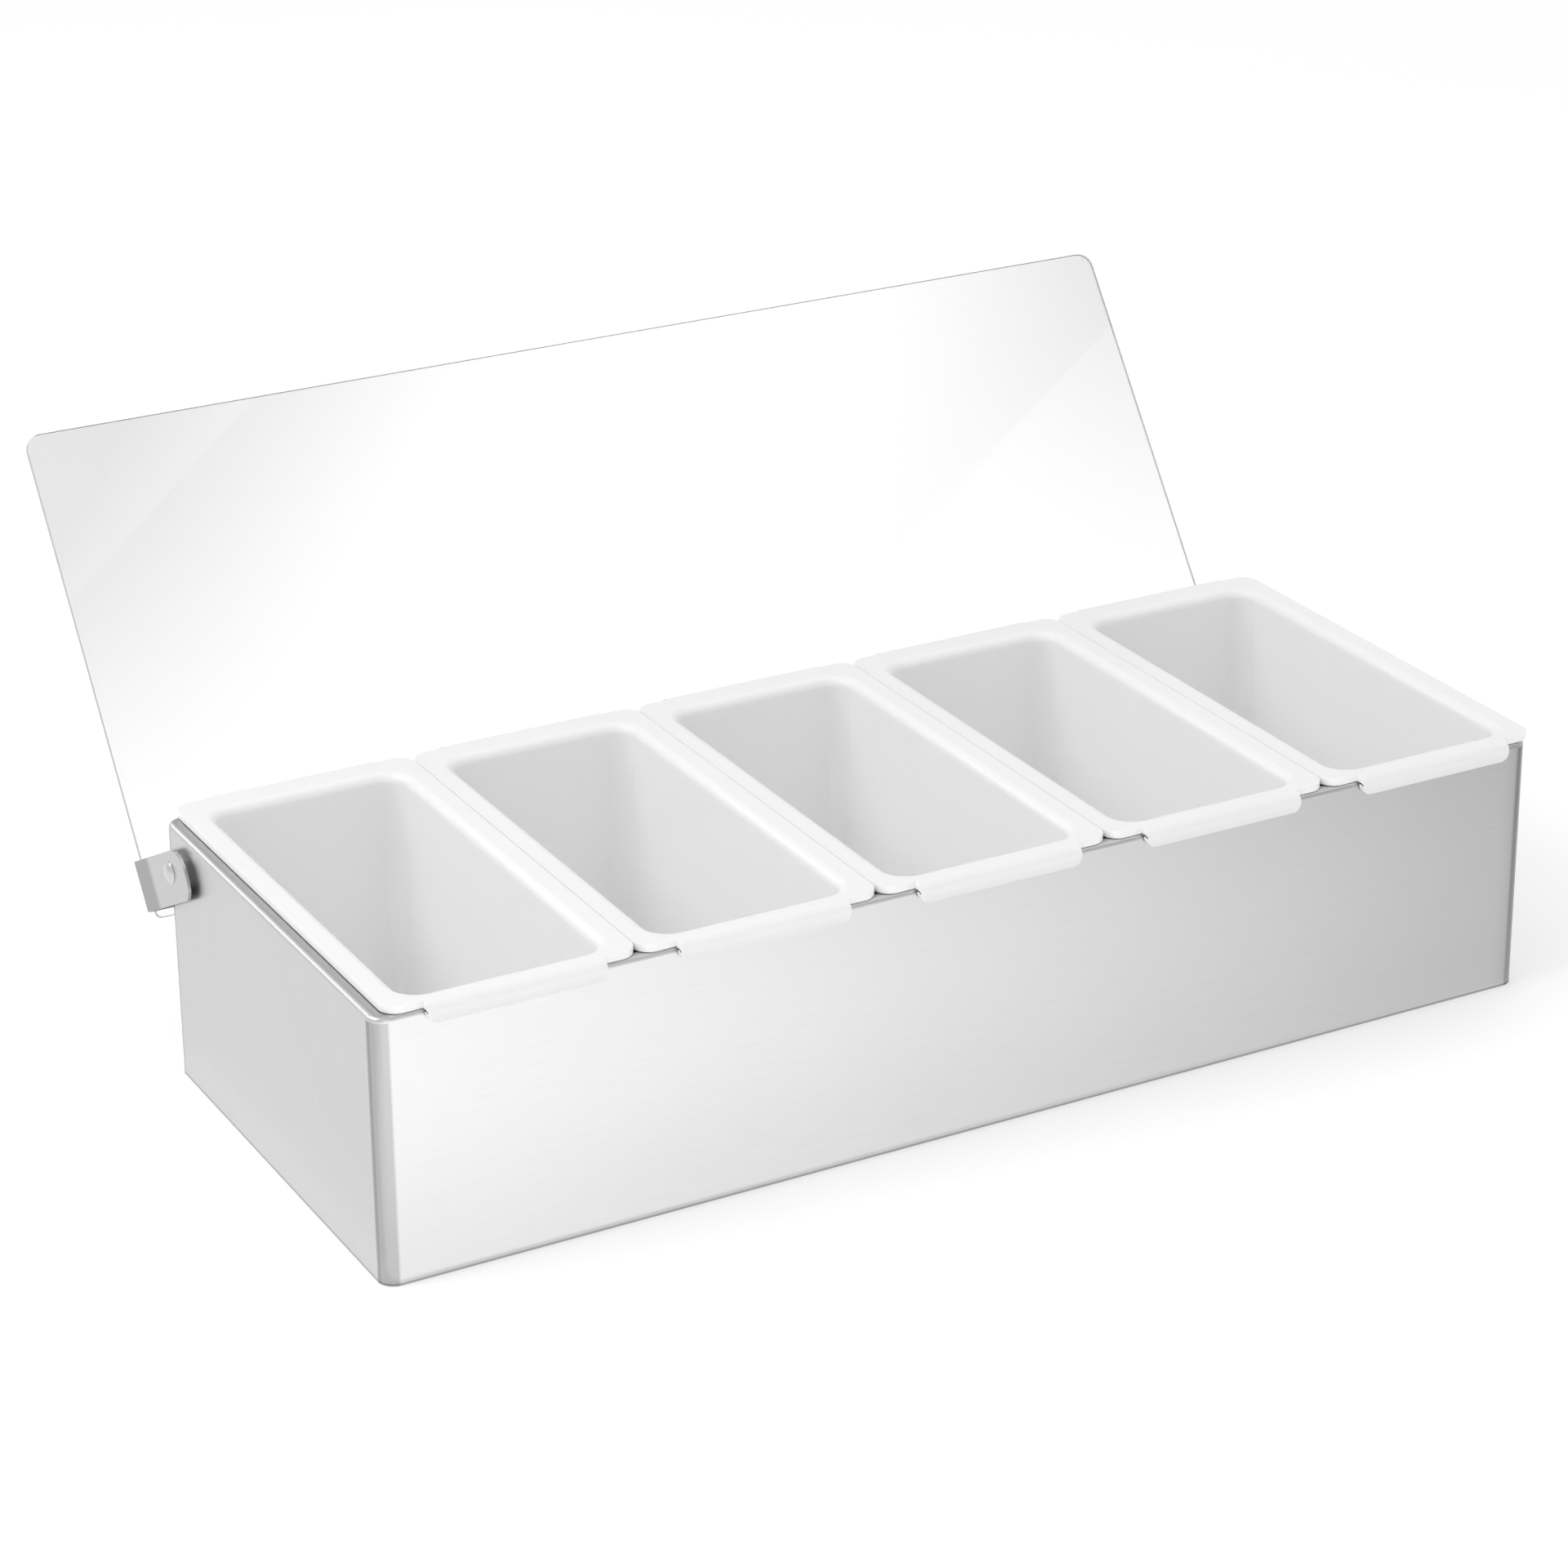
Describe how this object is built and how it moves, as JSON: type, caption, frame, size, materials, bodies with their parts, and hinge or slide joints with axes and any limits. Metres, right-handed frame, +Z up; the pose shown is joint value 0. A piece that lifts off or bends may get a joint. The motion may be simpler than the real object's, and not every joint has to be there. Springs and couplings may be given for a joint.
{
  "type": "bar caddy",
  "caption": "Long open steel bar caddy with lift-out white plastic inserts in a row and one clear hinged lid",
  "frame": {"origin": "middle of the body's flat underside, on the surface that it stands on", "axes": "+X along the body to the user's right, +Y away from the user to the hinge side, +Z up"},
  "size_m": [0.3884, 0.2549, 0.1682],
  "materials": {
    "steel_sheet": "satin stainless steel sheet, brushed along the body",
    "steel_bracket": "polished stainless steel sheet",
    "steel_rivet": "bright turned stainless steel",
    "white_plastic": "white polypropylene, soft gloss",
    "clear_plastic": "clear polycarbonate sheet, gloss"
  },
  "bodies": {
    "tray": {"body_wall": "steel_sheet", "base_pan": "steel_sheet", "pivot_rivet_left": "steel_rivet", "pivot_spacer_left": "steel_rivet", "pivot_washer_left": "steel_rivet", "pivot_rivet_right": "steel_rivet", "pivot_spacer_right": "steel_rivet", "pivot_washer_right": "steel_rivet"},
    "lid": {"lid_sheet": "clear_plastic", "hinge_bracket_left": "steel_bracket", "lid_rivets_left": "steel_rivet", "lid_washers_left": "steel_rivet", "hinge_bracket_right": "steel_bracket", "lid_rivets_right": "steel_rivet", "lid_washers_right": "steel_rivet"},
    "insert_1": {"insert_1": "white_plastic"},
    "insert_2": {"insert_2": "white_plastic"},
    "insert_3": {"insert_3": "white_plastic"},
    "insert_4": {"insert_4": "white_plastic"},
    "insert_5": {"insert_5": "white_plastic"}
  },
  "joints": [
    {"name": "lid_hinge", "type": "hinge", "parent": "tray", "child": "lid", "pos_m": [0, 0.065, 0.0685], "axis": [-1, 0, 0], "range_deg": [-132.5, 20]},
    {"name": "insert_1_lift", "type": "slide", "parent": "tray", "child": "insert_1", "axis": [0, 0, 1], "range_m": [0, 0.1]},
    {"name": "insert_2_lift", "type": "slide", "parent": "tray", "child": "insert_2", "axis": [0, 0, 1], "range_m": [0, 0.1]},
    {"name": "insert_3_lift", "type": "slide", "parent": "tray", "child": "insert_3", "axis": [0, 0, 1], "range_m": [0, 0.1]},
    {"name": "insert_4_lift", "type": "slide", "parent": "tray", "child": "insert_4", "axis": [0, 0, 1], "range_m": [0, 0.1]},
    {"name": "insert_5_lift", "type": "slide", "parent": "tray", "child": "insert_5", "axis": [0, 0, 1], "range_m": [0, 0.1]}
  ]
}
